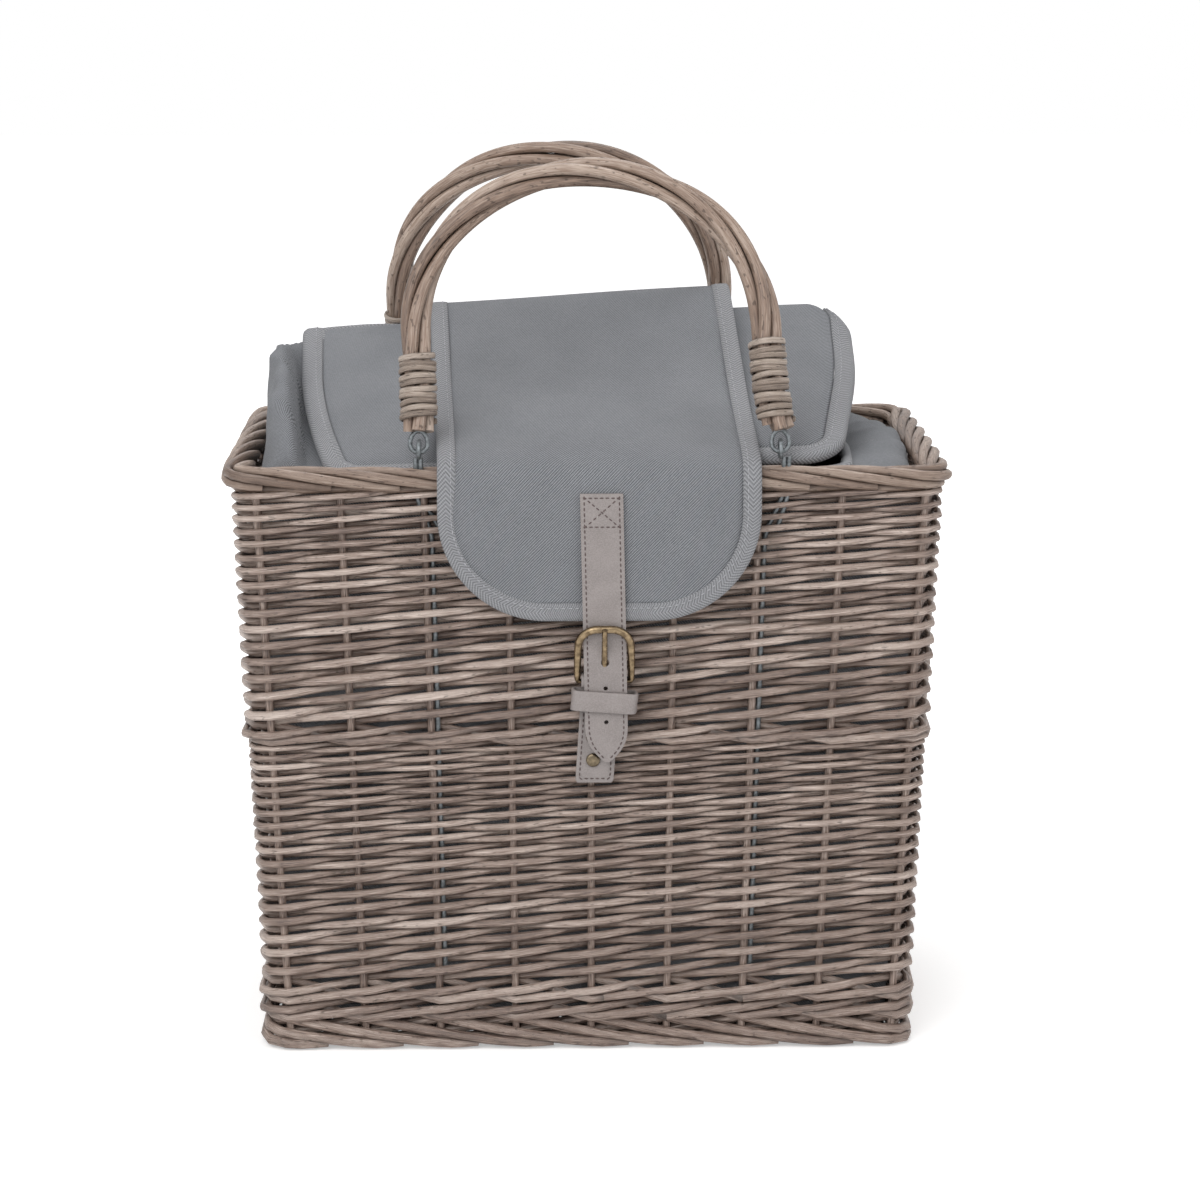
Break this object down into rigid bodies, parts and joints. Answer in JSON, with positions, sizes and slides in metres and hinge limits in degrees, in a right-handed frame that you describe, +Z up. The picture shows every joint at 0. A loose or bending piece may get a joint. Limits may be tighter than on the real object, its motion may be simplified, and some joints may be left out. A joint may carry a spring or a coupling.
{
  "type": "chiller basket",
  "caption": "Tall tapered willow basket with a fitted grey cooler bag, a sloping lid, a buckled fabric flap over the front rim and twisted-rod handles on wire eyes.",
  "frame": {"origin": "middle of the base's underside, on the surface that the basket stands on", "axes": "+Z up, +X to the right when seen from the front, and -Y towards the front, where the flap and buckle are"},
  "size_m": [0.35, 0.2231, 0.4389],
  "materials": {
    "willow": "matt, grey-brown stain",
    "rim_willow": "matt, warm brown stain",
    "cane": "matt, pale split cane",
    "wire": "galvanised",
    "fabric": "fine twill",
    "tape": "herringbone tape",
    "foam": "closed-cell foam",
    "lining": "dark coated cloth",
    "leather": "matt, grey",
    "brass": "antiqued"
  },
  "bodies": {
    "basket": {"rim_eye_front_left": "wire", "rim_eye_front_right": "wire", "rim_eye_back_left": "wire", "rim_eye_back_right": "wire", "lower_wall_front": "willow", "upper_wall_front": "willow", "foam_front": "foam", "lower_wall_back": "willow", "upper_wall_back": "willow", "foam_back": "foam", "lower_wall_left": "willow", "upper_wall_left": "willow", "foam_left": "foam", "lower_wall_right": "willow", "upper_wall_right": "willow", "foam_right": "foam", "rim_border": "rim_willow", "mid_wale": "willow", "bottom_wale": "willow", "foot_border": "willow", "base_panel": "willow", "cooler_shell": "fabric", "cooler_lining": "lining", "foam_base": "foam", "strap_tab": "leather", "keeper_loop": "leather", "tab_rivet_1": "brass", "tab_rivet_2": "brass", "buckle_frame": "brass"},
    "front_handle": {"front_handle_rod_1": "willow", "front_handle_rod_2": "willow", "front_handle_rod_3": "willow", "front_handle_rod_4": "willow", "handle_loop_front_left": "wire", "handle_loop_front_right": "wire", "handle_binding_front_left": "cane", "handle_binding_front_right": "cane"},
    "back_handle": {"back_handle_rod_1": "willow", "back_handle_rod_2": "willow", "back_handle_rod_3": "willow", "back_handle_rod_4": "willow", "handle_loop_back_left": "wire", "handle_loop_back_right": "wire", "handle_binding_back_left": "cane", "handle_binding_back_right": "cane"},
    "lid": {"lid_panel": "fabric", "lid_binding": "tape", "flap_top": "fabric", "flap_tape_left": "tape", "flap_tape_right": "tape"},
    "flap": {"flap_front": "fabric", "flap_front_tape": "tape", "strap": "leather"},
    "prong": {"buckle_prong": "brass"}
  },
  "joints": [
    {"name": "handle_front_swing", "type": "hinge", "parent": "basket", "child": "front_handle", "pos_m": [0.006, -0.097, 0.302], "axis": [1, 0, 0], "range_deg": [0, 95]},
    {"name": "handle_back_swing", "type": "hinge", "parent": "basket", "child": "back_handle", "pos_m": [-0.008, 0.097, 0.302], "axis": [-1, 0, 0], "range_deg": [0, 95]},
    {"name": "lid_open", "type": "hinge", "parent": "basket", "child": "lid", "pos_m": [-0.004, 0.06, 0.342], "axis": [-1, 0, 0], "range_deg": [0, 82], "deforming": ["lid_panel", "lid_binding", "flap_top", "flap_tape_left", "flap_tape_right", "flap_front", "flap_front_tape", "strap"]},
    {"name": "flap_lift", "type": "hinge", "parent": "lid", "child": "flap", "pos_m": [0.0057, -0.1089, 0.296], "axis": [-1, 0, 0], "range_deg": [0, 110], "deforming": ["strap"]},
    {"name": "prong_swing", "type": "hinge", "parent": "basket", "child": "prong", "pos_m": [0.008, -0.10523, 0.1915], "axis": [1, 0, 0], "range_deg": [0, 40], "deforming": ["strap"]}
  ]
}
